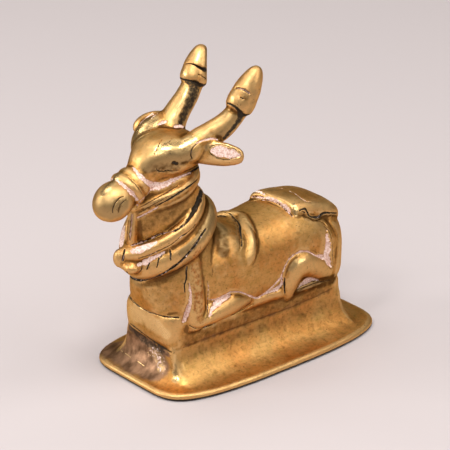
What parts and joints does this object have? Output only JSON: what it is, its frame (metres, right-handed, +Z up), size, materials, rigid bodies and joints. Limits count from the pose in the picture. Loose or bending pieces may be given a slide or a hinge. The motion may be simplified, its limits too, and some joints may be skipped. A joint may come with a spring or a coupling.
{
  "type": "nandi bull figure",
  "caption": "Small cast brass bull lying on a stepped base, with bud-tipped horns, collar, noseband and a cloth over the rump, made to stand on a shelf or altar.",
  "frame": {"origin": "middle of the base's flat underside", "axes": "+Z up, -X the way the bull faces, -Y the bull's left side"},
  "size_m": [0.0877, 0.0454, 0.0864],
  "materials": {
    "worn_brass": "worn satin with polished highs, tarnish and pale residue in the recesses"
  },
  "bodies": {
    "root": {"nandi_bull": "worn_brass"}
  },
  "joints": []
}
